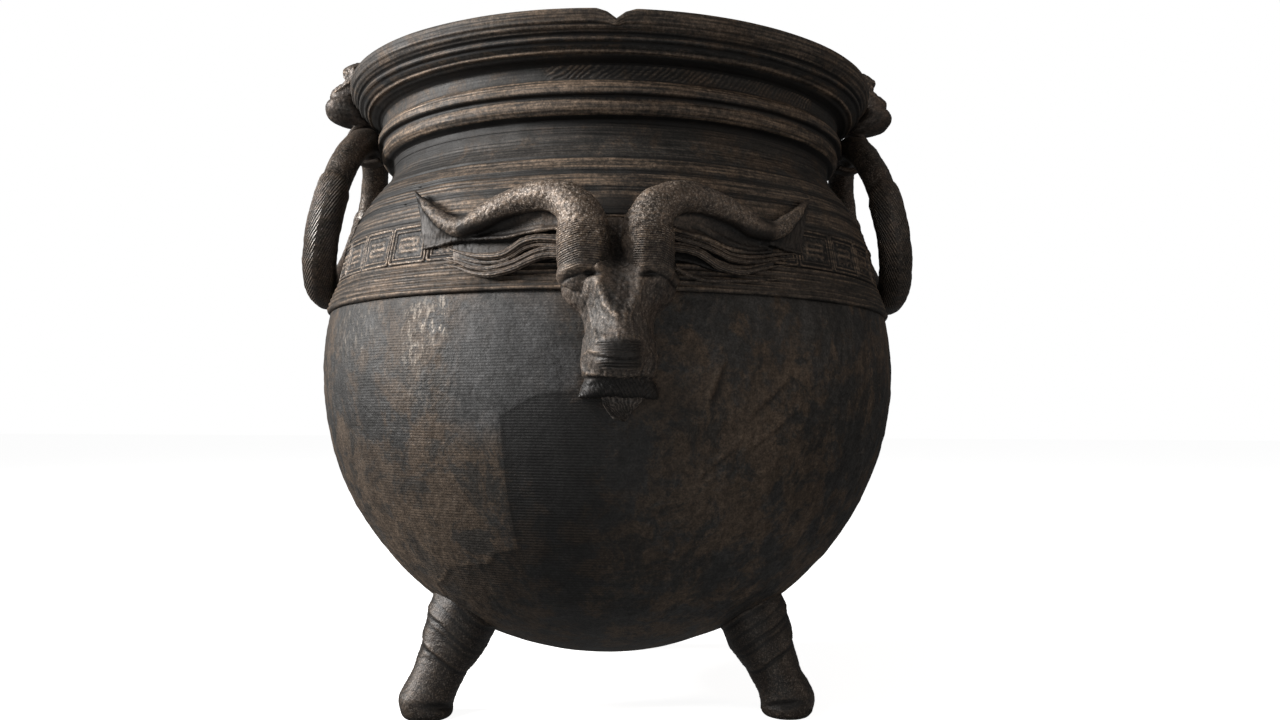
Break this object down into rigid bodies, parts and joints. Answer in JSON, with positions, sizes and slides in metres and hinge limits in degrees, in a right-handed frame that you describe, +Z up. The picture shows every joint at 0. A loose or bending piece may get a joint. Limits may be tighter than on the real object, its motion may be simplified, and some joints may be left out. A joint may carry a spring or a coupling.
{
  "type": "tripod cauldron",
  "caption": "Cast bronze tripod cauldron with a flared rim, banded neck, fret band, ram's head in relief and swinging ring handles held by masks on the rim.",
  "frame": {"origin": "on the ground, in the middle of the cauldron's box; the vessel's axis is 22 mm behind it", "axes": "+Z up along the vessel's axis, the ram's head to -Y, the ring handles at -X and +X"},
  "size_m": [0.5074, 0.5134, 0.5285],
  "materials": {
    "dark_bronze": "cast bronze with a nearly black patina, mottled brown, semi-matte",
    "worn_bronze": "cast bronze with a brown-black patina worn lighter where it is handled, rough"
  },
  "bodies": {
    "cauldron": {"cauldron_body": "dark_bronze", "front_left_leg": "worn_bronze", "front_right_leg": "worn_bronze", "back_leg": "worn_bronze", "left_lug": "worn_bronze", "right_lug": "worn_bronze"},
    "left_ring": {"left_ring_handle": "worn_bronze"},
    "right_ring": {"right_ring_handle": "worn_bronze"}
  },
  "joints": [
    {"name": "left_ring_swing", "type": "hinge", "parent": "cauldron", "child": "left_ring", "pos_m": [-0.20726, 0.02217, 0.4612], "axis": [0, 1, 0], "range_deg": [0, 110]},
    {"name": "right_ring_swing", "type": "hinge", "parent": "cauldron", "child": "right_ring", "pos_m": [0.20726, 0.02217, 0.4612], "axis": [0, -1, 0], "range_deg": [0, 110]}
  ]
}
